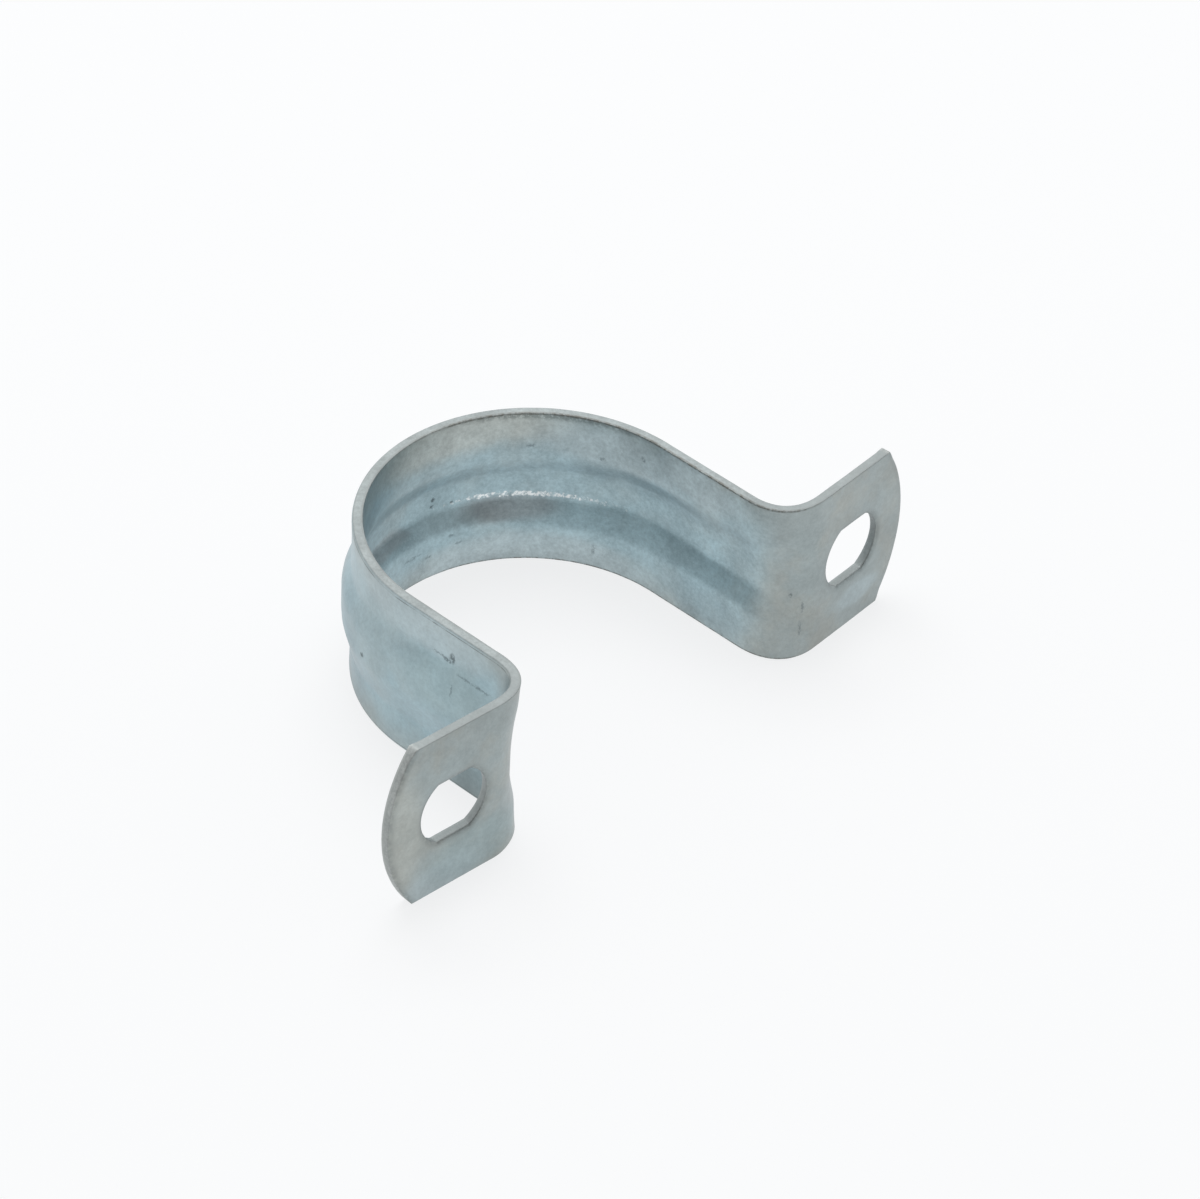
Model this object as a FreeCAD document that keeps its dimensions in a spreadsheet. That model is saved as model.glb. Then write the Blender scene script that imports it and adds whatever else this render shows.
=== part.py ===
import FreeCAD, Part
import math
import os
import Sketcher

# A two-hole conduit strap: one strip of zinc-plated sheet steel, ribbed, bent round the conduit and pierced.
# The origin is on the conduit's axis, half way up the strip. +Z runs along the conduit, +X from one ear
# to the other, and -Y points at the wall that the strap is screwed to.

os.makedirs("parts", exist_ok=True)
doc = FreeCAD.newDocument("conduit_strap")

# Driving dimensions in millimetres, and the tilt in degrees.
SIZES = {
    "conduit_diameter": 29.54,
    "conduit_clearance": 0.1,
    "wall_clearance": 0.1,
    "sheet_thickness": 0.95,
    "strip_width": 16.6,
    "edge_draw": 0.22,
    "bend_radius": 3.7,
    "ear_tilt": 4.0,
    "ear_length": 11.6,
    "ear_end_radius": 14.0,
    "rib_depth": 0.95,
    "rib_half_width": 3.85,
    "rib_crown_radius": 4.2,
    "rib_drop": 0.45,
    "hole_from_bend": 4.5,
    "hole_length": 7.7,
    "hole_width": 6.24,
    "hole_end_radius": 3.5,
}

sheet = doc.addObject("Spreadsheet::Sheet", "sizes")
for row, (alias, number) in enumerate(SIZES.items(), start=1):
    sheet.set(f"A{row}", alias)
    sheet.set(f"B{row}", str(number))
    sheet.setAlias(f"B{row}", alias)
doc.recompute()

# What follows from the sheet and is used by several features. An outer bend is on the conduit's side.
ARCH_RADIUS = "(sizes.conduit_diameter / 2 + sizes.conduit_clearance)"
WALL_DEPTH = "(sizes.conduit_diameter / 2 + sizes.wall_clearance)"
OUTER_BEND = "(sizes.bend_radius + sizes.sheet_thickness)"
LEG_LENGTH = f"({WALL_DEPTH} - {OUTER_BEND})"
TILT = "(sizes.ear_tilt * 1 deg)"
EAR_START_X = f"({ARCH_RADIUS} + {OUTER_BEND} * (1 + sin({TILT})))"
EAR_START_DEPTH = f"({LEG_LENGTH} + {OUTER_BEND} * cos({TILT}))"
HOLE_X = f"({EAR_START_X} + sizes.hole_from_bend * cos({TILT}))"
TIP_X = f"({EAR_START_X} + sizes.ear_length * cos({TILT}))"
RIBBED_HALF = "(sizes.strip_width / 2 - sizes.edge_draw)"

START, END, CENTRE = 1, 2, 3
ORIGIN = (-1, START)
HALF_TURN = 180


def now(expression):
    """The number that an expression gives with the sheet as it stands."""
    return float(sheet.evalExpression(expression))


def origin_part(body, role):
    return next(part for part in body.Origin.OriginFeatures if part.Role == role)


def new_sketch(body, name, plane, turn=None, **shift):
    """A sketch on an origin plane, turned about the strip's width and shifted by expressions."""
    sketch = body.newObject("Sketcher::SketchObject", name)
    sketch.AttachmentSupport = [(origin_part(body, plane), "")]
    sketch.MapMode = "FlatFace"
    if turn:
        about_width = FreeCAD.Rotation(FreeCAD.Vector(0, 1, 0), now(turn))
        sketch.AttachmentOffset = FreeCAD.Placement(FreeCAD.Vector(), about_width)
        sketch.setExpression(".AttachmentOffset.Rotation.Angle", turn)
    for axis, expression in shift.items():
        sketch.setExpression(f".AttachmentOffset.Base.{axis}", expression)
    return sketch


def add_line(sketch, start, end):
    return sketch.addGeometry(Part.LineSegment(FreeCAD.Vector(*start), FreeCAD.Vector(*end)), False)


def add_arc(sketch, centre, radius, start, end):
    """An arc that runs anticlockwise between two angles in radians."""
    circle = Part.Circle(FreeCAD.Vector(*centre), FreeCAD.Vector(0, 0, 1), radius)
    return sketch.addGeometry(Part.ArcOfCircle(circle, start, end), False)


def tie(sketch, kind, *places):
    sketch.addConstraint(Sketcher.Constraint(kind, *places))


def bind(sketch, kind, *places, to):
    """A dimension whose value is the expression."""
    number = sketch.addConstraint(Sketcher.Constraint(kind, *places, now(to)))
    sketch.setExpression(f"Constraints[{number}]", to)


def join(sketch, one, other):
    """Makes two (element, end) points one."""
    tie(sketch, "Coincident", *one, *other)


def close_section(sketch, inner, outer):
    """Joins the two faces of the sheet at the strip's edges."""
    for (near, near_end), (far, far_end) in (
        ((inner[0], START), (outer[0], START)),
        ((inner[-1], END), (outer[-1], END)),
    ):
        points = [sketch.getPoint(near, near_end), sketch.getPoint(far, far_end)]
        edge = add_line(sketch, *points)
        join(sketch, (edge, START), (near, near_end))
        join(sketch, (edge, END), (far, far_end))
        tie(sketch, "Horizontal", edge)


def ribbed_section(sketch):
    """The strip's section with its rib: x is outward through the sheet from its inner face, y the width.

    Each face is a flat, a foot arc, the crown arc, a foot arc and a flat, tangent all the way."""
    half = now(RIBBED_HALF)
    reach, depth = SIZES["rib_half_width"], SIZES["rib_depth"]
    crown, drop = SIZES["rib_crown_radius"], SIZES["rib_drop"]
    radii = (reach**2 + depth**2) / (2 * depth)
    lean = math.asin(reach / radii)
    faces = []
    for out in (0, SIZES["sheet_thickness"]):
        foot_radius = radii - crown - out
        foot_x = radii - crown
        flat_low = add_line(sketch, (out, -half), (out, -drop - reach))
        foot_low = add_arc(sketch, (foot_x, -drop - reach), foot_radius, math.pi - lean, math.pi)
        top = add_arc(sketch, (depth - crown, -drop), crown + out, -lean, lean)
        foot_high = add_arc(sketch, (foot_x, reach - drop), foot_radius, math.pi, math.pi + lean)
        flat_high = add_line(sketch, (out, reach - drop), (out, half))
        tie(sketch, "Tangent", flat_low, END, foot_low, END)
        tie(sketch, "Tangent", foot_low, START, top, START)
        tie(sketch, "Tangent", top, END, foot_high, END)
        tie(sketch, "Tangent", foot_high, START, flat_high, START)
        tie(sketch, "Vertical", flat_low)
        tie(sketch, "Vertical", flat_high)
        bind(sketch, "DistanceY", flat_low, END, *ORIGIN, to="sizes.rib_half_width + sizes.rib_drop")
        bind(sketch, "DistanceY", *ORIGIN, flat_high, START, to="sizes.rib_half_width - sizes.rib_drop")
        faces.append((flat_low, foot_low, top, foot_high, flat_high))
    inner, outer = faces
    crown_inner, crown_outer = inner[2], outer[2]
    bind(sketch, "Radius", crown_inner, to="sizes.rib_crown_radius")
    bind(sketch, "Radius", crown_outer, to="sizes.rib_crown_radius + sizes.sheet_thickness")
    bind(sketch, "DistanceX", crown_inner, CENTRE, *ORIGIN, to="sizes.rib_crown_radius - sizes.rib_depth")
    bind(sketch, "DistanceY", crown_inner, CENTRE, *ORIGIN, to="sizes.rib_drop")
    join(sketch, (crown_outer, CENTRE), (crown_inner, CENTRE))
    for flat in (inner[0], inner[-1]):
        tie(sketch, "PointOnObject", flat, START, -2)
    for flat in (outer[0], outer[-1]):
        bind(sketch, "DistanceX", *ORIGIN, flat, START, to="sizes.sheet_thickness")
    bind(sketch, "DistanceY", inner[0], START, *ORIGIN, to=RIBBED_HALF)
    bind(sketch, "DistanceY", *ORIGIN, inner[-1], END, to=RIBBED_HALF)
    close_section(sketch, inner, outer)


def plain_section(sketch):
    """The strip's section where the rib has run out, with its flats parted where the rib's arcs meet."""
    levels = [
        "sizes.strip_width / -2",
        "-sizes.rib_half_width - sizes.rib_drop",
        "sizes.rib_half_width / -2 - sizes.rib_drop",
        "sizes.rib_half_width / 2 - sizes.rib_drop",
        "sizes.rib_half_width - sizes.rib_drop",
        "sizes.strip_width / 2",
    ]
    faces = []
    for out in ("0", "sizes.sheet_thickness"):
        flats = []
        for low, high in zip(levels, levels[1:]):
            flat = add_line(sketch, (now(out), now(low)), (now(out), now(high)))
            tie(sketch, "Vertical", flat)
            if flats:
                join(sketch, (flats[-1], END), (flat, START))
            flats.append(flat)
            if high != levels[-1] or out == "0":
                bind(sketch, "DistanceY", *ORIGIN, flat, END, to=high)
        faces.append(flats)
    inner, outer = faces
    tie(sketch, "PointOnObject", inner[0], START, -2)
    bind(sketch, "DistanceX", *ORIGIN, outer[0], START, to="sizes.sheet_thickness")
    bind(sketch, "DistanceY", inner[0], START, *ORIGIN, to="sizes.strip_width / 2")
    close_section(sketch, inner, outer)


def tip_outline(sketch):
    """What is sheared off the ear's tip: an arc across the strip, closed beyond the tip and the edges."""
    radius = SIZES["ear_end_radius"]
    middle = now(f"{TIP_X} - sizes.ear_end_radius")
    past_tip = now(TIP_X) + SIZES["sheet_thickness"]
    past_edge = SIZES["strip_width"] / 2 + SIZES["sheet_thickness"]
    spread = math.asin(past_edge / radius)
    end_x = middle + radius * math.cos(spread)
    arc = add_arc(sketch, (middle, 0), radius, -spread, spread)
    low = add_line(sketch, (end_x, -past_edge), (past_tip, -past_edge))
    beyond = add_line(sketch, (past_tip, -past_edge), (past_tip, past_edge))
    high = add_line(sketch, (past_tip, past_edge), (end_x, past_edge))
    join(sketch, (arc, START), (low, START))
    join(sketch, (low, END), (beyond, START))
    join(sketch, (beyond, END), (high, START))
    join(sketch, (high, END), (arc, END))
    tie(sketch, "Horizontal", low)
    tie(sketch, "Vertical", beyond)
    tie(sketch, "Horizontal", high)
    tie(sketch, "PointOnObject", arc, CENTRE, -1)
    bind(sketch, "DistanceX", *ORIGIN, arc, CENTRE, to=f"{TIP_X} - sizes.ear_end_radius")
    bind(sketch, "Radius", arc, to="sizes.ear_end_radius")
    bind(sketch, "DistanceX", *ORIGIN, beyond, START, to=f"{TIP_X} + sizes.sheet_thickness")
    bind(sketch, "DistanceY", beyond, START, *ORIGIN, to="sizes.strip_width / 2 + sizes.sheet_thickness")
    bind(sketch, "DistanceY", *ORIGIN, beyond, END, to="sizes.strip_width / 2 + sizes.sheet_thickness")


def hole_outline(sketch):
    """A screw hole: two end arcs, each a little off the hole's middle, and two flats along the strip."""
    radius, half = SIZES["hole_end_radius"], SIZES["hole_width"] / 2
    offset = "(sizes.hole_length / 2 - sizes.hole_end_radius)"
    spread = math.asin(half / radius)
    right_x, left_x = now(f"{HOLE_X} + {offset}"), now(f"{HOLE_X} - {offset}")
    reach = radius * math.cos(spread)
    right = add_arc(sketch, (right_x, 0), radius, -spread, spread)
    left = add_arc(sketch, (left_x, 0), radius, math.pi - spread, math.pi + spread)
    high = add_line(sketch, (right_x + reach, half), (left_x - reach, half))
    low = add_line(sketch, (left_x - reach, -half), (right_x + reach, -half))
    join(sketch, (right, END), (high, START))
    join(sketch, (high, END), (left, START))
    join(sketch, (left, END), (low, START))
    join(sketch, (low, END), (right, START))
    for flat in (high, low):
        tie(sketch, "Horizontal", flat)
    for arc, sign in ((right, "+"), (left, "-")):
        tie(sketch, "PointOnObject", arc, CENTRE, -1)
        bind(sketch, "DistanceX", *ORIGIN, arc, CENTRE, to=f"{HOLE_X} {sign} {offset}")
        bind(sketch, "Radius", arc, to="sizes.hole_end_radius")
    bind(sketch, "DistanceY", *ORIGIN, high, START, to="sizes.hole_width / 2")
    bind(sketch, "DistanceY", low, START, *ORIGIN, to="sizes.hole_width / 2")


def pierce(body, name, sketch):
    """Cuts the sketch's outline through the ear, from the conduit's side out towards the wall."""
    solid_before = body.Tip.Shape.Volume
    pocket = body.newObject("PartDesign::Pocket", name)
    pocket.Profile = sketch
    pocket.Type = "ThroughAll"
    pocket.Reversed = True
    doc.recompute()
    if pocket.Shape.Volume >= solid_before:
        raise ValueError(f"{name} cuts nothing")
    return pocket


def build_strap():
    """The whole strap: the arch, then one leg with its bend, pierced ear and tip, and their mirror image."""
    body = doc.addObject("PartDesign::Body", "strap")
    body.Label = "strap"

    # The arch that holds the conduit is half a turn of the ribbed section about the conduit's axis.
    arch_section = new_sketch(body, "arch_section", "XZ_Plane", x=ARCH_RADIUS)
    ribbed_section(arch_section)
    arch = body.newObject("PartDesign::Revolution", "arch")
    arch.Profile = arch_section
    arch.ReferenceAxis = (origin_part(body, "Z_Axis"), [""])
    arch.Angle = HALF_TURN
    doc.recompute()

    # The leg carries the same section straight towards the wall.
    leg = body.newObject("PartDesign::Pad", "leg")
    leg.Profile = arch_section
    leg.setExpression("Length", LEG_LENGTH)
    doc.recompute()

    # The rib runs out through the bend, where the strip comes back to its full width.
    bend_path = new_sketch(body, "bend_path", "XY_Plane")
    centre = (now(f"{ARCH_RADIUS} + {OUTER_BEND}"), -now(LEG_LENGTH))
    turned = math.radians(now("sizes.ear_tilt"))
    arc = add_arc(bend_path, centre, now(OUTER_BEND), math.pi, 1.5 * math.pi + turned)
    bind(bend_path, "DistanceX", *ORIGIN, arc, CENTRE, to=f"{ARCH_RADIUS} + {OUTER_BEND}")
    bind(bend_path, "DistanceY", arc, CENTRE, *ORIGIN, to=LEG_LENGTH)
    bind(bend_path, "DistanceY", arc, START, *ORIGIN, to=LEG_LENGTH)
    bind(bend_path, "Radius", arc, to=OUTER_BEND)
    bind(bend_path, "DistanceX", arc, CENTRE, arc, END, to=f"{OUTER_BEND} * sin({TILT})")
    leg_end = new_sketch(body, "leg_end_section", "XZ_Plane", x=ARCH_RADIUS, z=LEG_LENGTH)
    ribbed_section(leg_end)
    ear_section = new_sketch(
        body, "ear_section", "XZ_Plane", turn="90 + sizes.ear_tilt", x=EAR_START_X, z=EAR_START_DEPTH
    )
    plain_section(ear_section)
    doc.recompute()
    bend = body.newObject("PartDesign::AdditivePipe", "bend")
    bend.Profile = leg_end
    bend.Spine = (bend_path, ["Edge1"])
    bend.Transformation = "Multisection"
    bend.Sections = [(ear_section, [""])]
    doc.recompute()

    # The ear runs on along the wall, tilted off it so that the screw springs it down.
    ear = body.newObject("PartDesign::Pad", "ear")
    ear.Profile = ear_section
    ear.setExpression("Length", "sizes.ear_length")
    doc.recompute()

    # The ear's tip is sheared to an arc, and its screw hole is pierced square to the wall.
    tip_sketch = new_sketch(body, "tip_outline", "XZ_Plane")
    tip_outline(tip_sketch)
    tip = pierce(body, "tip", tip_sketch)
    hole_sketch = new_sketch(body, "hole_outline", "XZ_Plane")
    hole_outline(hole_sketch)
    hole = pierce(body, "screw_hole", hole_sketch)

    # The other leg, bend and ear mirror these.
    other_side = body.newObject("PartDesign::Mirrored", "other_side")
    other_side.Originals = [leg, bend, ear, tip, hole]
    other_side.MirrorPlane = (origin_part(body, "YZ_Plane"), [""])
    body.Tip = other_side
    doc.recompute()
    return body


def write(body):
    """Writes the sub-part's STEP file once every object and the solid itself are sound."""
    failed = [item.Name for item in doc.Objects if {"Invalid", "Error"} & set(item.State)]
    if failed:
        raise ValueError(f"these objects failed: {failed}")
    shape = body.Shape
    if shape.isNull() or not shape.isValid() or len(shape.Solids) != 1:
        raise ValueError(f"{body.Label} is not one valid solid")
    shape.exportStep(f"parts/{body.Label}.step")
    print(body.Label, "volume", round(shape.Volume, 2), "mm3")


write(build_strap())
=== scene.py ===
import math

import bpy
from mathutils import Matrix, Vector, noise


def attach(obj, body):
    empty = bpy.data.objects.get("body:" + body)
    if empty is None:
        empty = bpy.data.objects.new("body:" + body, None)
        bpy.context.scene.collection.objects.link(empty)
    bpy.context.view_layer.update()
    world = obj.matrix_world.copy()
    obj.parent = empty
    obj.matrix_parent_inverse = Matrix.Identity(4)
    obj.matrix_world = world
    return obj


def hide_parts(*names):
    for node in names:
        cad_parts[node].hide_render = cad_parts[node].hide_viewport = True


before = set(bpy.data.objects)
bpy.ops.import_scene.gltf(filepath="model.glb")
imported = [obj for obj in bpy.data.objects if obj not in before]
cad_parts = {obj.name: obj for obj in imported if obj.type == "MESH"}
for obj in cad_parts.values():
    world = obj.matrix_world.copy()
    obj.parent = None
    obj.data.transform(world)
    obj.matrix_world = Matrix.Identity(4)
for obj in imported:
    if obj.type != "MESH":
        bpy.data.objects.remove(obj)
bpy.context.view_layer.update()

# The strap. One strip of sheet steel, cut to length, pierced and tip-sheared in one press stroke, then
# ribbed and bent round a former, and zinc plated last, so the plate covers its sheared edges as well.
# It is held by two screws through the ears and springs shut on the conduit.
MM = 0.001
CONDUIT_SIDE = 14.87
SHEET = 0.95
HALF_WIDTH = 8.3
EDGE_DRAW = 0.22
OUTER_BEND = 4.65
EAR_TILT = math.radians(4)
EAR_LENGTH = 11.6
TIP_RADIUS = 14.0
# The rib at places along from the crown: where its high wall starts and ends across the strip, where its
# low wall ends and starts, its depth, and how much of the high wall is the bend at its top.
RIB_STATIONS = (
    (5.0, (3.35, 0.30, -1.35, -4.15, 0.88, 0.30)),
    (14.5, (3.35, 0.75, -1.45, -4.85, 0.77, 0.30)),
    (20.5, (4.10, 1.20, -0.80, -4.55, 0.88, 0.35)),
    (25.0, (4.50, 1.10, -0.70, -4.25, 0.88, 0.50)),
    (30.5, (5.00, 0.60, -0.90, -4.05, 0.88, 0.60)),
)
HIGH_FOOT_BEND = 0.26
LOW_WALL_BENDS = (0.16, 0.12)
RIB_SPREAD = 1.7
RIB_RUN_OUT = 1.1
FLARE = 0.05
FLARE_START = 5.8
BEND_CURL = 0.22
BEND_CURL_START = 4.0
BEND_PINCH = 0.4
WAVES = ((3.6, 0.024), (1.3, 0.007))
SLOPE_STEP = 0.02
HOLE_FROM_BEND = 4.5
HOLE_LENGTH = 6.85
HOLE_WIDTH = 6.06
HOLE_END_RADIUS = 3.5
HOLE_TEAR = 0.30
HOLE_TEAR_REACH = 1.6

QUARTER_ARCH = CONDUIT_SIDE * math.pi / 2
LEG = CONDUIT_SIDE - OUTER_BEND
BEND_TURN = math.pi / 2 + EAR_TILT
BEND_LENGTH = OUTER_BEND * BEND_TURN
LEG_END = QUARTER_ARCH + LEG
EAR_START = LEG_END + BEND_LENGTH
TIP = EAR_START + EAR_LENGTH
HOLE_MIDDLE = EAR_START + HOLE_FROM_BEND


def ease(value):
    """Runs smoothly from 0 to 1 as value does, and stays there outside."""
    value = min(max(value, 0.0), 1.0)
    return value * value * (3 - 2 * value)


def strip_line(along):
    """Where the conduit side is at a distance from the crown, and which way the outside faces there."""
    side = -1 if along < 0 else 1
    along = abs(along)
    if along < QUARTER_ARCH:
        angle = math.pi / 2 - along / CONDUIT_SIDE
        out = Vector((math.cos(angle), math.sin(angle), 0))
        place = out * CONDUIT_SIDE
    elif along < LEG_END:
        out = Vector((1, 0, 0))
        place = Vector((CONDUIT_SIDE, QUARTER_ARCH - along, 0))
    elif along < EAR_START:
        angle = math.pi + (along - LEG_END) / OUTER_BEND
        out = Vector((-math.cos(angle), -math.sin(angle), 0))
        place = Vector((CONDUIT_SIDE + OUTER_BEND, -LEG, 0)) - out * OUTER_BEND
    else:
        out = Vector((-math.sin(EAR_TILT), math.cos(EAR_TILT), 0))
        place = Vector((CONDUIT_SIDE + OUTER_BEND, -LEG, 0)) - out * OUTER_BEND
        place += Vector((math.cos(EAR_TILT), math.sin(EAR_TILT), 0)) * (along - EAR_START)
    return Vector((side * place.x, place.y, 0)), Vector((side * out.x, out.y, 0))


def wall(part, foot_bend, top_bend):
    """A wall of the rib, from 0 at its foot to 1 at its top: straight, but for a bend at each end."""
    part = min(max(part, 0.0), 1.0)
    slope = 2 / (2 - foot_bend - top_bend)
    if part < foot_bend:
        return slope * part**2 / (2 * foot_bend)
    if part > 1 - top_bend:
        return 1 - slope * (1 - part) ** 2 / (2 * top_bend)
    return slope * (part - foot_bend / 2)


def rib_height(along, across):
    """How far the rib stands out. It is narrow over the crown and wide on the legs, and it spreads and
    flattens as it runs out through the bend."""
    for (near, narrow), (far, wide) in zip(RIB_STATIONS, RIB_STATIONS[1:]):
        part = ease((abs(along) - near) / (far - near))
        lines = [one + (other - one) * part for one, other in zip(narrow, wide)]
        if abs(along) < far:
            break
    high_foot, high_top, low_top, low_foot, depth, high_bend = lines
    run_out = (abs(along) - LEG_END) / (BEND_LENGTH * RIB_RUN_OUT)
    spread = 1 + (RIB_SPREAD - 1) * min(max(run_out, 0.0), 1.0)
    middle = (high_foot + low_foot) / 2
    across = middle + (across - middle) / spread
    high = wall((high_foot - across) / (high_foot - high_top), HIGH_FOOT_BEND, high_bend)
    low = wall((across - low_foot) / (low_top - low_foot), *LOW_WALL_BENDS)
    return depth * high * low * (1 - ease(run_out))


def half_width(along):
    """Half the strip's width, less what the rib draws in."""
    return HALF_WIDTH - EDGE_DRAW * (1 - ease((abs(along) - LEG_END) / BEND_LENGTH))


def surface(along, across):
    """How far the conduit side stands out: the rib, the slight flare that it leaves in the strip's edges,
    the edges' curl away from each bend, and the unevenness of pressed sheet, which is all outward."""
    flare = max(abs(across) - FLARE_START, 0.0) / (HALF_WIDTH - FLARE_START)
    flare = FLARE * flare**2 * (1 - ease((abs(along) - LEG_END) / BEND_LENGTH))
    height = rib_height(along, across) + flare
    if LEG_END < abs(along) < EAR_START:
        curl = max(abs(across) - BEND_CURL_START, 0.0) / (HALF_WIDTH - BEND_CURL_START)
        height -= BEND_CURL * curl**2 * math.sin(math.pi * (abs(along) - LEG_END) / BEND_LENGTH) ** 2
    for length, swing in WAVES:
        height += swing * (noise.noise(Vector((along, across, length)) / length) + 1) / 2
    return height


def pinch(along, across):
    """How far the left bend drew in the lower edge of its stretched side."""
    turn = min(max((-along - LEG_END) / BEND_LENGTH, 0.0), 1.0)
    return BEND_PINCH * math.sin(math.pi * turn) ** 2 * (max(-across, 0.0) / HALF_WIDTH) ** 4


def on_strip(along, across, through):
    """The point in metres at a place on the strip and a depth through it from the conduit side."""
    place, out = strip_line(along)
    rise = rib_height(along, across + SLOPE_STEP) - rib_height(along, across - SLOPE_STEP)
    rise /= 2 * SLOPE_STEP
    lean = math.atan(rise)
    point = place + out * (surface(along, across) + through * math.cos(lean))
    point.z = across - through * math.sin(lean) + pinch(along, across) * (1 - through / SHEET)
    return point * MM


EDGE_ROUND = 0.09
EDGE_STEPS = 4
EDGE_UNEVEN = 0.03
RAGGED_SIZE = 0.7
RAGGED_STRETCH = 3
SLIT_ROLL = (0.38, 0.13)
PUNCH_ROLL = (0.60, 0.18)
ROLL_FADE = 1.2
EDGE_ROWS = (0.0, 0.05, 0.13, 0.23, 0.36, 0.50, 0.66)
ROWS = 380
COLUMNS = 56
EAR_SIDE = 30
EAR_RINGS = 20
CROWDED_PART = 0.42
PATCH_START = EAR_START + 0.3


def across_at(along, column):
    """Where a lengthwise row of points lies. The outermost rows crowd together at the sheared edge."""
    half = half_width(along) - EDGE_ROUND
    from_side = min(column, COLUMNS - column)
    if from_side < len(EDGE_ROWS):
        return math.copysign(half - EDGE_ROWS[from_side], column - COLUMNS / 2)
    inner = half - EDGE_ROWS[-1]
    first = len(EDGE_ROWS) - 1
    return inner * (2 * (column - first) / (COLUMNS - 2 * first) - 1)


def hole_reach(angle):
    """How far the screw hole's outline is from its middle: round ends, each a little off the middle, and
    two flats along the strip."""
    offset = HOLE_LENGTH / 2 - HOLE_END_RADIUS
    cosine, sine = abs(math.cos(angle)), abs(math.sin(angle))
    round_end = offset * cosine + math.sqrt(HOLE_END_RADIUS**2 - (offset * sine) ** 2)
    return min(round_end, HOLE_WIDTH / 2 / sine) if sine else round_end


def sheared_tip(across):
    """How far along the arc-shaped tip is at a place across the strip."""
    return TIP - (TIP_RADIUS - math.sqrt(TIP_RADIUS**2 - across**2)) / math.cos(EAR_TILT)


def ear_outline():
    """The ear's outline, anticlockwise from the bend, just inside its rounded edge."""
    side = HALF_WIDTH - EDGE_ROUND
    corner = sheared_tip(side) - EDGE_ROUND
    points = [(PATCH_START, across_at(PATCH_START, COLUMNS - i)) for i in range(COLUMNS)]
    points += [(PATCH_START + (corner - PATCH_START) * i / EAR_SIDE, -side) for i in range(EAR_SIDE)]
    for i in range(COLUMNS):
        across = side * (2 * i / COLUMNS - 1)
        points.append((sheared_tip(across) - EDGE_ROUND, across))
    points += [(corner - (corner - PATCH_START) * i / EAR_SIDE, side) for i in range(EAR_SIDE)]
    return points


def hole_gap(along, across):
    """How far a place is from the edge of its ear's hole."""
    ahead = abs(along) - HOLE_MIDDLE
    return math.hypot(ahead, across) - hole_reach(math.atan2(across, ahead))


def edge_gaps(along, across):
    """How far a place is from the strip's nearest long edge, and from its tip or hole."""
    cut_gap = min(sheared_tip(across) - abs(along), hole_gap(along, across))
    return half_width(along) - abs(across), cut_gap


def torn(along, across, through):
    """The point at a place and depth, where the punch tore its hole's ends wider towards the outside."""
    ahead = abs(along) - HOLE_MIDDLE
    part = max(1 - max(hole_gap(along, across), 0.0) / HOLE_TEAR_REACH, 0.0) * through / SHEET
    ahead += HOLE_TEAR * part * ahead / math.hypot(ahead, across)
    return on_strip(math.copysign(HOLE_MIDDLE + ahead, along), across, through)


class Flat:
    """The strip before it is bent: points (along, across) and the cells between them."""

    def __init__(self):
        self.points, self.numbers, self.cells = [], {}, []

    def number(self, along, across):
        """The number of the point at a place, the same for every cell that shares it."""
        key = (round(along, 5), round(across, 5))
        if key not in self.numbers:
            self.numbers[key] = len(self.points)
            self.points.append((along, across))
        return self.numbers[key]

    def add(self, corners):
        """Adds the cell between these corners, unless two of them fall together."""
        cell = [self.number(*corner) for corner in corners]
        if len(set(cell)) == len(cell):
            self.cells.append(cell)


flat = Flat()
for row in range(ROWS):
    low = PATCH_START * (2 * row / ROWS - 1)
    high = PATCH_START * (2 * (row + 1) / ROWS - 1)
    for column in range(COLUMNS):
        flat.add(
            [
                (low, across_at(low, column)),
                (high, across_at(high, column)),
                (high, across_at(high, column + 1)),
                (low, across_at(low, column + 1)),
            ]
        )

# Each ear is a patch of rings from its hole to its outline, with a point of the outline at each of the
# hole's corners.
outline = ear_outline()
bearings = [math.atan2(across, along - HOLE_MIDDLE) for along, across in outline]
end_turn = math.asin(HOLE_WIDTH / 2 / HOLE_END_RADIUS)
corner_ahead = HOLE_LENGTH / 2 - HOLE_END_RADIUS + HOLE_END_RADIUS * math.cos(end_turn)
hole_corner = math.atan2(HOLE_WIDTH / 2, corner_ahead)
for corner in (hole_corner, math.pi - hole_corner, -hole_corner, hole_corner - math.pi):
    nearest = min(range(len(bearings)), key=lambda i: abs(bearings[i] - corner))
    bearings[nearest] = corner
inner_rings = EAR_RINGS - 2 * (len(EDGE_ROWS) - 1)
for side in (-1, 1):
    rings = []
    for ring in range(EAR_RINGS + 1):
        points = []
        for (along, across), angle in zip(outline, bearings):
            reach = hole_reach(angle) + EDGE_ROUND
            start = Vector((HOLE_MIDDLE + reach * math.cos(angle), reach * math.sin(angle)))
            ray = Vector((along, across)) - start
            from_side = min(ring, EAR_RINGS - ring)
            crowding = min(1 / ray.length, CROWDED_PART / EDGE_ROWS[-1])
            if from_side < len(EDGE_ROWS):
                part = EDGE_ROWS[from_side] * crowding
            else:
                first = EDGE_ROWS[-1] * crowding
                part = first + (1 - 2 * first) * (from_side - len(EDGE_ROWS) + 1) / inner_rings
            point = start + ray * (part if ring == from_side else 1 - part)
            points.append((side * point.x, point.y))
        rings.append(points)
    for inner, outer in zip(rings, rings[1:]):
        for i in range(len(outline)):
            j = (i + 1) % len(outline)
            corners = [inner[i], outer[i], outer[j], inner[j]]
            flat.add(corners if side > 0 else corners[::-1])

# An edge between two points that only one cell has is on the border: each point and the one after it.
edges = [pair for cell in flat.cells for pair in zip(cell, cell[1:] + cell[:1])]
known = set(edges)
border = {one: other for one, other in edges if (other, one) not in known}
before = {other: one for one, other in border.items()}


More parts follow.
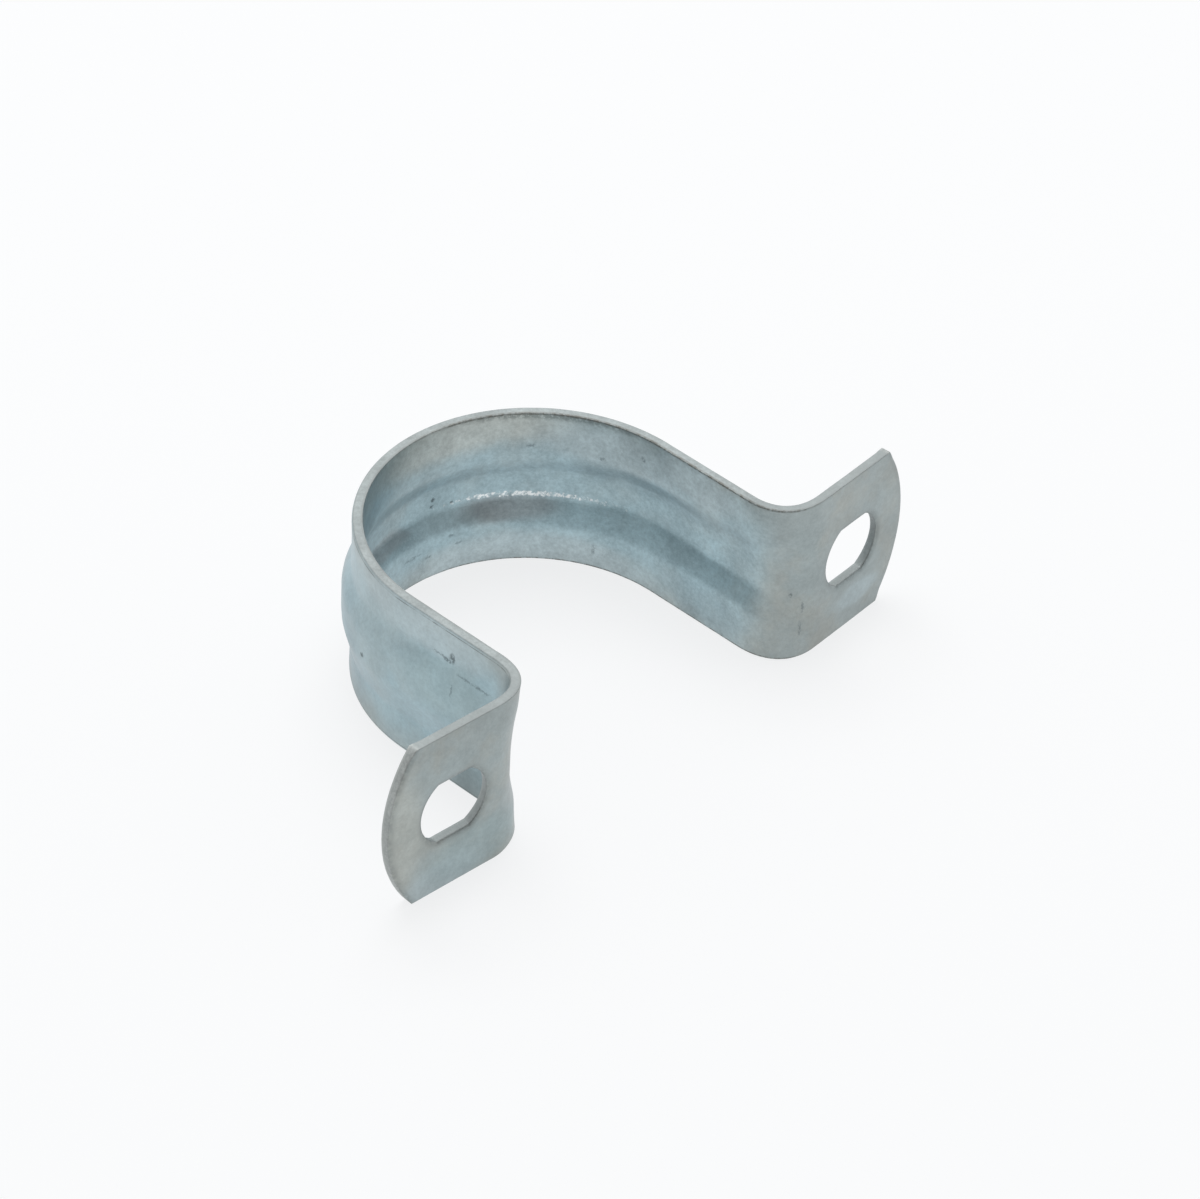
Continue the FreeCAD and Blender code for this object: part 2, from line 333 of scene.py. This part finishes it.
def outward(number):
    """The mitred step outward from a border point that moves both its edges out by one."""
    here = Vector(flat.points[number])
    one = (here - Vector(flat.points[before[number]])).normalized()
    other = (Vector(flat.points[border[number]]) - here).normalized()
    first, second = Vector((one.y, -one.x)), Vector((other.y, -other.x))
    return (first + second) / (1 + first.dot(second))


def rolls(side_gap, cut_gap):
    """How far the inside and the outside are drawn into the sheet near a sheared edge. The slitting of the
    strip drew its outside down, and the press drew its conduit side down at the tips and the holes. The
    corners, where the two meet, stayed full."""
    (slit_width, slit_depth), (punch_width, punch_depth) = SLIT_ROLL, PUNCH_ROLL
    inside = punch_depth * max(1 - max(cut_gap, 0.0) / punch_width, 0.0) ** 2 * ease(side_gap / ROLL_FADE)
    outside = slit_depth * max(1 - max(side_gap, 0.0) / slit_width, 0.0) ** 2 * ease(cut_gap / ROLL_FADE)
    return inside, outside


def corner_points(start, corner, end):
    """The points of a rounded corner, with both its ends."""
    points = []
    for step in range(EDGE_STEPS + 1):
        part = step / EDGE_STEPS
        weights = ((1 - part) ** 2, 2 * part * (1 - part), part**2)
        axes = zip(start, corner, end)
        points.append(tuple(sum(w * p for w, p in zip(weights, axis)) for axis in axes))
    return points


def edge_profile(side_gap, cut_gap):
    """The sheared edge between its two faces: how far out and how far through."""
    inside, outside = rolls(side_gap - EDGE_ROUND, cut_gap - EDGE_ROUND)
    face_inside, face_outside = rolls(side_gap, cut_gap)
    outside, face_outside = SHEET - outside, SHEET - face_outside
    first = corner_points((0, face_inside), (EDGE_ROUND, inside), (EDGE_ROUND, inside + EDGE_ROUND))
    last = corner_points((EDGE_ROUND, outside - EDGE_ROUND), (EDGE_ROUND, outside), (0, face_outside))
    return first[1:] + [(EDGE_ROUND, (inside + outside) / 2)] + last[:-1]


count = len(flat.points)
gaps = [edge_gaps(along, across) for along, across in flat.points]
vertices = [torn(*point, rolls(*near)[0]) for point, near in zip(flat.points, gaps)]
vertices += [torn(*point, SHEET - rolls(*near)[1]) for point, near in zip(flat.points, gaps)]
places = [(along, across, 0.0) for along, across in flat.points]
places += [(along, across, SHEET) for along, across in flat.points]
gaps += gaps
faces = []
for cell in flat.cells:
    faces.append(cell)
    faces.append([number + count for number in reversed(cell)])

rim_numbers = {}
for number in border:
    step = outward(number)
    along, across = flat.points[number]
    rim_numbers[number] = [number]
    for out, through in edge_profile(*gaps[number]):
        ragged = noise.noise(Vector((along, across, through / RAGGED_STRETCH)) / RAGGED_SIZE) + 1
        reach = out - EDGE_UNEVEN * ragged / 2 * out / EDGE_ROUND
        rim_numbers[number].append(len(vertices))
        vertices.append(torn(along + step.x * reach, across + step.y * reach, through))
        places.append((along, across, through))
        gaps.append(edge_gaps(along + step.x * out, across + step.y * out))
    rim_numbers[number].append(number + count)
for number, following in border.items():
    one, other = rim_numbers[number], rim_numbers[following]
    for step in range(len(one) - 1):
        faces.append([one[step + 1], other[step + 1], other[step], one[step]])

strap_mesh = bpy.data.meshes.new("strap_steel")
strap_mesh.from_pydata(vertices, [], faces)
strap_mesh.validate()
strip_place = strap_mesh.attributes.new("strip_place", "FLOAT_VECTOR", "POINT")
strip_place.data.foreach_set("vector", [value for place in places for value in place])
edge_gap = strap_mesh.attributes.new("edge_gap", "FLOAT_VECTOR", "POINT")
edge_gap.data.foreach_set("vector", [value for side, cut in gaps for value in (side, cut, 0.0)])
strap_mesh.polygons.foreach_set("use_smooth", [True] * len(strap_mesh.polygons))
strap = bpy.data.objects.new("strap_steel", strap_mesh)
bpy.context.collection.objects.link(strap)


def linear(hex_colour):
    """An sRGB hex colour as linear red, green, blue and alpha."""
    parts = [int(hex_colour[i : i + 2], 16) / 255 for i in (1, 3, 5)]
    return (*[p / 12.92 if p <= 0.04045 else ((p + 0.055) / 1.055) ** 2.4 for p in parts], 1.0)


def add_node(tree, kind, settings=None, inputs=None):
    """A node with its settings, and its inputs given as plain values or as other nodes' output sockets."""
    node = tree.nodes.new(kind)
    for name, value in (settings or {}).items():
        setattr(node, name, value)
    for socket, value in (inputs or {}).items():
        if isinstance(value, bpy.types.NodeSocket):
            tree.links.new(value, node.inputs[socket])
        else:
            node.inputs[socket].default_value = value
    return node


# Zinc plate with a blue-clear film: a dull grey metal sheen with a cold tint. The film is bluest in the
# middle of the arch and thins to a neutral or warm grey on the ears and along the edges, and it dries in
# blotches. The sheared edges are duller and greyer, because the plate is thin on the torn steel.
OUTSIDE_STARTS, OUTSIDE_FULL = 0.6, 0.9
zinc = bpy.data.materials.new("blue_clear_zinc_plate")
zinc.use_nodes = True
tree = zinc.node_tree
shader = tree.nodes["Principled BSDF"]
position = add_node(tree, "ShaderNodeTexCoord").outputs["Object"]
place = add_node(tree, "ShaderNodeAttribute", {"attribute_name": "strip_place"}).outputs["Vector"]
place_parts = add_node(tree, "ShaderNodeSeparateXYZ", inputs={"Vector": place}).outputs
gap = add_node(tree, "ShaderNodeAttribute", {"attribute_name": "edge_gap"}).outputs["Vector"]
side_gap, cut_gap = add_node(tree, "ShaderNodeSeparateXYZ", inputs={"Vector": gap}).outputs[:2]
edge = add_node(tree, "ShaderNodeMath", {"operation": "MINIMUM"}, {0: side_gap, 1: cut_gap}).outputs[0]
along = add_node(tree, "ShaderNodeMath", {"operation": "ABSOLUTE"}, {0: place_parts["X"]}).outputs[0]
across = add_node(tree, "ShaderNodeMath", {"operation": "ABSOLUTE"}, {0: place_parts["Y"]}).outputs[0]
through = place_parts["Z"]
outside = add_node(
    tree,
    "ShaderNodeMapRange",
    {"interpolation_type": "SMOOTHSTEP"},
    {"Value": through, "From Min": OUTSIDE_STARTS, "From Max": OUTSIDE_FULL},
).outputs[0]
from_inside = add_node(tree, "ShaderNodeMath", {}, {0: side_gap, 1: through}).outputs[0]

# Blotches: the largest in mm, how often they halve in size, and how strong the finer ones are. The finest
# crystals of the plate are too small to show, so the grain and the tooth are drawn coarser.
BLOTCHES = {
    "cloud": (7.0, 3.0, 0.55),
    "warmth": (4.5, 5.0, 0.60),
    "patch": (3.0, 6.0, 0.62),
    "smear": (1.7, 6.0, 0.70),
    "grain": (0.45, 4.0, 0.85),
    "tooth": (0.30, 4.0, 0.70),
}
BLOTCH_STEP = 3.7
blotches = {}
for turn, (name, (size, detail, roughness)) in enumerate(BLOTCHES.items()):
    blotches[name] = add_node(
        tree,
        "ShaderNodeTexNoise",
        {"noise_dimensions": "4D"},
        {
            "Vector": position,
            "W": turn * BLOTCH_STEP,
            "Scale": 1 / (size * MM),
            "Detail": detail,
            "Roughness": roughness,
        },
    ).outputs

# Each fade turns one value from a first number to a second as another runs between two limits.
fades = {}
for name, value, low, high, first, second in (
    ("on the arch", along, 33.0, 37.5, 1.0, 0.12),
    ("off the edge", across, 4.2, 8.6, 1.0, 0.30),
    ("blue blotches", blotches["cloud"][0], 0.36, 0.64, 0.68, 1.12),
    ("warm blotches", blotches["warmth"][0], 0.42, 0.66, 0.0, 0.8),
    ("clouds", blotches["patch"][0], 0.30, 0.70, 0.91, 1.09),
    ("grains", blotches["grain"][0], 0.30, 0.70, 0.91, 1.09),
    ("gloss", blotches["smear"][0], 0.30, 0.70, 0.32, 0.41),
    ("cut", edge, 0.02, EDGE_ROUND, 0.9, 0.0),
    ("inner corner", from_inside, 0.12, 0.26, 1.0, 0.0),
    ("off the ears", along, 36.0, 42.0, 1.0, 0.15),
    ("at the tips", along, 49.5, 50.0, 0.0, 0.85),
    ("roll-over starts", side_gap, 0.24, 0.30, 0.0, 1.0),
    ("roll-over ends", side_gap, 0.30, 0.38, 1.0, 0.0),
    ("inside", outside, 0.0, 1.0, 1.0, 0.0),
    ("near a cut", cut_gap, 0.15, 0.80, 0.55, 0.0),
    ("broken line", blotches["smear"][0], 0.40, 0.56, 0.15, 0.8),
    ("crumbs", blotches["grain"][0], 0.40, 0.58, 0.05, 0.8),
    ("crumbling", blotches["tooth"][0], 0.40, 0.52, 0.1, 1.0),
    ("to the right", place_parts["X"], -4.0, 8.0, 0.35, 1.0),
    ("unevenness", along, 33.0, 38.0, 1.5, 0.90),
    ("outside smoothness", outside, 0.0, 1.0, 1.0, 0.6),
    ("ear dullness", along, 33.0, 38.0, 1.0, 0.93),
):
    limits = {"From Min": low, "From Max": high, "To Min": first, "To Max": second}
    fades[name] = add_node(
        tree, "ShaderNodeMapRange", {"interpolation_type": "SMOOTHSTEP"}, {"Value": value, **limits}
    ).outputs[0]

# Marks, by kind: how ragged their outlines are in mm, and each one's place along, across and through the
# strip and half its length and width.
MARKS = {
    # Painted highlight: the rubbed line carries painted glints along the rib's lower crease.
    "rubbed": (0.5, ((11.3, -1.3, 0.0, 10.3, 0.40),)),
    "stained": (1.4, ((9.5, -2.6, 0.0, 5.5, 1.7), (-3.0, -2.2, 0.0, 4.0, 1.2))),
    "warm": (1.4, ((4.0, 7.0, 0.0, 13.0, 3.4), (-52.0, -0.5, 0.0, 4.2, 8.5))),
    "pale": (
        1.4,
        (
            (11.0, -7.0, 0.0, 14.0, 2.9),
            (19.0, 5.4, 0.0, 11.0, 2.6),
            (27.0, 6.2, 0.0, 8.0, 2.2),
            (-25.0, 6.8, SHEET, 10.0, 3.0),
            (-47.0, -7.2, 0.0, 6.5, 2.6),
            (47.0, -5.3, 0.0, 4.0, 1.6),
        ),
    ),
    "cool": (1.4, ((-43.0, -5.8, 0.0, 8.0, 3.4), (-29.0, 2.0, SHEET, 7.0, 3.5))),
    # Painted shade: darker patches on the rib's walls, the flats beside it and the left leg's outside.
    "shade patches": (
        0.9,
        (
            (20.5, 2.4, 0.0, 8.5, 1.8),
            (25.5, 2.2, 0.0, 5.0, 1.3),
            (29.5, -6.0, 0.0, 6.5, 3.0),
            (-9.0, 4.2, 0.0, 6.0, 1.6),
            (8.3, -2.6, 0.0, 2.4, 1.3),
            (-14.5, -3.5, SHEET, 5.5, 7.5),
        ),
    ),
    "shaded": (0.7, ((-33.0, -7.4, SHEET, 5.0, 4.6),)),
    "shadowed": (0.3, ((13.0, 8.1, 0.0, 12.0, 0.85),)),
    "specks": (
        0.55,
        (
            (38.3, -1.5, 0.0, 0.26, 0.28),
            (2.8, -0.3, 0.0, 0.28, 0.30),
            (2.7, -1.0, 0.0, 0.25, 0.22),
            (4.6, -1.2, 0.0, 0.22, 0.22),
            (-28.9, 5.2, SHEET, 0.40, 0.75),
            (-28.4, 4.7, SHEET, 0.60, 0.30),
            (-18.9, -0.6, SHEET, 0.30, 0.35),
        ),
    ),
    "streaks": (
        0.8,
        (
            (39.5, -3.0, 0.0, 0.22, 0.8),
            (39.3, -5.2, 0.0, 0.22, 1.0),
            (17.2, -6.0, 0.0, 0.22, 0.9),
            (4.2, -4.2, 0.0, 0.35, 0.25),
            (5.0, -5.2, 0.0, 0.50, 0.22),
            (1.8, -5.6, 0.0, 0.45, 0.22),
            (0.0, -4.9, 0.0, 1.5, 0.22),
            (11.2, 4.6, 0.0, 0.5, 0.25),
            (17.6, 4.1, 0.0, 0.5, 0.25),
            (21.6, 5.7, 0.0, 0.3, 0.4),
            (-27.6, 4.9, SHEET, 1.4, 0.16),
            (-31.6, 3.8, SHEET, 2.6, 0.16),
            (-29.5, 2.3, SHEET, 0.15, 0.8),
        ),
    ),
}
COARSE = 1.0
SPOT_CORE = 0.45
marks = {}
for name, (ragged, spots) in MARKS.items():
    source = blotches["patch" if ragged > COARSE else "grain"][1]
    wander = add_node(
        tree,
        "ShaderNodeVectorMath",
        {"operation": "MULTIPLY_ADD"},
        {0: source, 1: (ragged, ragged, 0), 2: place},
    ).outputs[0]
    mark = 0.0
    for spot_along, spot_across, spot_through, half_length, half_across in spots:
        middle = (spot_along + ragged / 2, spot_across + ragged / 2, spot_through)
        offset = add_node(
            tree, "ShaderNodeVectorMath", {"operation": "SUBTRACT"}, {0: wander, 1: middle}
        ).outputs[0]
        size = (half_length, half_across, SHEET / 2)
        offset = add_node(
            tree, "ShaderNodeVectorMath", {"operation": "DIVIDE"}, {0: offset, 1: size}
        ).outputs[0]
        reach = add_node(
            tree, "ShaderNodeVectorMath", {"operation": "LENGTH"}, {0: offset}
        ).outputs["Value"]
        spot = add_node(
            tree,
            "ShaderNodeMapRange",
            {"interpolation_type": "SMOOTHSTEP"},
            {"Value": reach, "From Min": SPOT_CORE, "From Max": 1.0, "To Min": 1.0, "To Max": 0.0},
        ).outputs[0]
        mark = add_node(
            tree, "ShaderNodeMath", {"operation": "MAXIMUM"}, {0: mark, 1: spot}
        ).outputs[0]
    marks[name] = mark

# Painted highlight: light glints, close together in the middle of the rubbed line and scattered along its
# sides.
GLINT_PULL = 0.18
GLINT_LIMITS = (0.62, 0.76)
GLINT_LINE_EDGE = 0.2
glints = add_node(
    tree,
    "ShaderNodeMath",
    {"operation": "MULTIPLY_ADD"},
    {0: marks["rubbed"], 1: GLINT_PULL, 2: blotches["tooth"][0]},
).outputs[0]
glints = add_node(
    tree,
    "ShaderNodeMapRange",
    {},
    {"Value": glints, "From Min": GLINT_LIMITS[0], "From Max": GLINT_LIMITS[1]},
).outputs[0]
near_glint_line = add_node(
    tree, "ShaderNodeMapRange", {}, {"Value": marks["rubbed"], "From Max": GLINT_LINE_EDGE}
).outputs[0]

# Products: a fade or a mark, and what else it depends on or how strong it is.
products = {}
for name, first, *others in (
    ("blueness", fades["on the arch"], fades["off the edge"], fades["blue blotches"]),
    ("mottle", fades["clouds"], fades["grains"]),
    ("burr", fades["inner corner"], fades["crumbs"], fades["off the ears"], fades["to the right"]),
    ("rolled", outside, fades["roll-over starts"], fades["roll-over ends"], fades["broken line"]),
    ("tarnish", fades["inside"], fades["near a cut"], fades["crumbs"]),
    ("rubbed glints", glints, near_glint_line),
    ("warm patch", marks["warm"], 0.6),
    ("pale patch", marks["pale"], 0.7),
    ("cool patch", marks["cool"], 0.5),
    ("dimness", marks["shade patches"], 0.36),
    ("stain", marks["stained"], 0.45),
    ("shade", marks["shaded"], 0.72),
    ("edge shadow", marks["shadowed"], fades["crumbling"], 0.5),
    ("tip cut", fades["cut"], fades["at the tips"]),
    ("speck", marks["specks"], fades["crumbling"], 0.65),
    ("streak", marks["streaks"], fades["crumbling"], 0.5),
):
    for other in others:
        first = add_node(
            tree, "ShaderNodeMath", {"operation": "MULTIPLY"}, {0: first, 1: other}
        ).outputs[0]
    products[name] = first

# The plain film, then what lies over it: how much of each, its colour, its roughness and how metallic it
# is. A Mix node's sockets 6 and 7 are its colours, and 2 and 3 its plain numbers.
film, gloss, metal = linear("#9fa8a8"), fades["gloss"], 1.0
for amount, colour, roughness, metallic in (
    (fades["warm blotches"], "#a4a7a2", 0.38, 1.0),
    (products["blueness"], "#9db3ba", 0.35, 1.0),
    (products["pale patch"], "#aebcc0", 0.35, 1.0),
    (products["warm patch"], "#b6b9b3", 0.37, 1.0),
    (products["cool patch"], "#98abae", 0.36, 1.0),
    # Painted shade: the shade patches.
    (products["dimness"], "#7b8f97", 0.38, 1.0),
    (products["stain"], "#8e8f90", 0.40, 1.0),
    (products["shade"], "#7b8789", 0.42, 1.0),
    (products["edge shadow"], "#5f6866", 0.50, 1.0),
    (fades["cut"], "#a2a9a9", 0.70, 0.3),
    (products["tip cut"], "#c9cecc", 0.70, 0.3),
    # Burrs and painted shade: a dark crumbly line along the conduit side's long edges.
    (products["burr"], "#66645e", 0.60, 0.6),
    # Painted shade: a broken dark line where the outside rolls over at its long edges.
    (products["rolled"], "#6b716f", 0.60, 0.8),
    # Painted shade: darker speckled bands on the conduit side round the tips and holes, where the punch
    # rolled the edge.
    (products["tarnish"], "#767c7c", 0.50, 0.8),
    # Painted highlight: glints along the rubbed crease, lighter and smoother than the film.
    (products["rubbed glints"], "#dde2e3", 0.22, 1.0),
    (products["streak"], "#5e686c", 0.45, 1.0),
    (products["speck"], "#3c4548", 0.50, 1.0),
):
    film = add_node(
        tree, "ShaderNodeMix", {"data_type": "RGBA"}, {0: amount, 6: film, 7: linear(colour)}
    ).outputs[2]
    gloss = add_node(tree, "ShaderNodeMix", {}, {0: amount, 2: gloss, 3: roughness}).outputs[0]
    metal = add_node(tree, "ShaderNodeMix", {}, {0: amount, 2: metal, 3: metallic}).outputs[0]
# The mottle is about 1. It is stronger on the arch than on the ears, which are a little duller.
mottle = products["mottle"]
for operation, amount, shift in (
    ("MULTIPLY_ADD", 1.0, -1.0),
    ("MULTIPLY", fades["outside smoothness"], 0.0),
    ("MULTIPLY_ADD", fades["unevenness"], 1.0),
    ("MULTIPLY", fades["ear dullness"], 0.0),
):
    mottle = add_node(
        tree, "ShaderNodeMath", {"operation": operation}, {0: mottle, 1: amount, 2: shift}
    ).outputs[0]
film = add_node(
    tree, "ShaderNodeMix", {"data_type": "RGBA", "blend_type": "MULTIPLY"}, {0: 1.0, 6: film, 7: mottle}
).outputs[2]
tree.links.new(film, shader.inputs["Base Color"])
tree.links.new(gloss, shader.inputs["Roughness"])
tree.links.new(metal, shader.inputs["Metallic"])
TOOTH_DEPTH = 0.014
tooth = add_node(
    tree,
    "ShaderNodeBump",
    {},
    {"Height": blotches["tooth"][0], "Distance": TOOTH_DEPTH * MM, "Strength": 1.0},
).outputs[0]
tree.links.new(tooth, shader.inputs["Normal"])
strap_mesh.materials.append(zinc)

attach(strap, "root")
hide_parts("strap")

# The floor. A plain pale sheet under the strap, which stands on the edge of its strip.
FLOOR_HALF = 1.5
PAPER_ROUGHNESS = 0.9
PAPER_GLOW = 0.82
floor_mesh = bpy.data.meshes.new("floor")
level = -HALF_WIDTH * MM
corners = [(x * FLOOR_HALF, y * FLOOR_HALF, level) for x, y in ((-1, -1), (1, -1), (1, 1), (-1, 1))]
floor_mesh.from_pydata(corners, [], [(0, 1, 2, 3)])
floor = bpy.data.objects.new("floor", floor_mesh)
bpy.context.collection.objects.link(floor)
# Matt white paper. It glows, so that it looks evenly white and shows only a faint shadow.
paper = bpy.data.materials.new("matt_white_paper")
paper.use_nodes = True
shader = paper.node_tree.nodes["Principled BSDF"]
shader.inputs["Base Color"].default_value = linear("#666666")
shader.inputs["Roughness"].default_value = PAPER_ROUGHNESS
shader.inputs["Emission Color"].default_value = linear("#fbfcfd")
shader.inputs["Emission Strength"].default_value = PAPER_GLOW
floor_mesh.materials.append(paper)

# The light. A white tent lights the strap from all round, but for the dark opening that it is seen
# through, and a soft lamp above it is a little brighter.
OPENING_SIDE = Vector((-0.574, -0.819, 0.0))
OPENING_STARTS, OPENING_FULL = -0.2, 0.95
TENT_COLOUR = "#f0f1f2"
TENT_STRENGTH = 0.86
OPENING_COLOUR = "#6b6661"
bpy.context.scene.view_settings.view_transform = "Standard"
world = bpy.data.worlds.new("tent")
bpy.context.scene.world = world
world.use_nodes = True
tree = world.node_tree
direction = add_node(tree, "ShaderNodeTexCoord").outputs["Generated"]
facing = add_node(
    tree, "ShaderNodeVectorMath", {"operation": "DOT_PRODUCT"}, {0: direction, 1: OPENING_SIDE}
).outputs["Value"]
opening = add_node(
    tree,
    "ShaderNodeMapRange",
    {"interpolation_type": "SMOOTHSTEP"},
    {"Value": facing, "From Min": OPENING_STARTS, "From Max": OPENING_FULL},
).outputs[0]
tent = add_node(
    tree,
    "ShaderNodeMix",
    {"data_type": "RGBA"},
    {0: opening, 6: linear(TENT_COLOUR), 7: linear(OPENING_COLOUR)},
).outputs[2]
tree.links.new(tent, tree.nodes["Background"].inputs["Color"])
tree.nodes["Background"].inputs["Strength"].default_value = TENT_STRENGTH

LAMP_PLACE = Vector((0.15, 0.2, 0.7))
LAMP_SIZE = 0.6
LAMP_POWER = 4.0
lamp = bpy.data.lights.new("overhead_lamp", "AREA")
lamp.size = LAMP_SIZE
lamp.energy = LAMP_POWER
lamp_object = bpy.data.objects.new("overhead_lamp", lamp)
lamp_object.location = LAMP_PLACE
lamp_object.rotation_euler = (-LAMP_PLACE).to_track_quat("-Z", "Y").to_euler()
bpy.context.collection.objects.link(lamp_object)

# The camera. It looks down over the left ear into the arch.
AZIMUTH, ELEVATION, ROLL = (math.radians(angle) for angle in (-48.333, 39.127, 3.313))
DISTANCE = 443.9
BESIDE, BELOW = 5.446, 0.46
SENSOR = 36.0
LENS = 155.95
back = Vector(
    (
        math.sin(AZIMUTH) * math.cos(ELEVATION),
        -math.cos(AZIMUTH) * math.cos(ELEVATION),
        math.sin(ELEVATION),
    )
)
level_right = Vector((math.cos(AZIMUTH), math.sin(AZIMUTH), 0))
upright = back.cross(level_right)
right = level_right * math.cos(ROLL) + upright * math.sin(ROLL)
up = upright * math.cos(ROLL) - level_right * math.sin(ROLL)
camera_data = bpy.data.cameras.new("camera")
camera_data.sensor_width = SENSOR
camera_data.lens = LENS
camera = bpy.data.objects.new("camera", camera_data)
place = (right * BESIDE - up * BELOW + back * DISTANCE) * MM
camera.matrix_world = Matrix.Translation(place) @ Matrix((right, up, back)).transposed().to_4x4()
bpy.context.collection.objects.link(camera)
bpy.context.scene.camera = camera
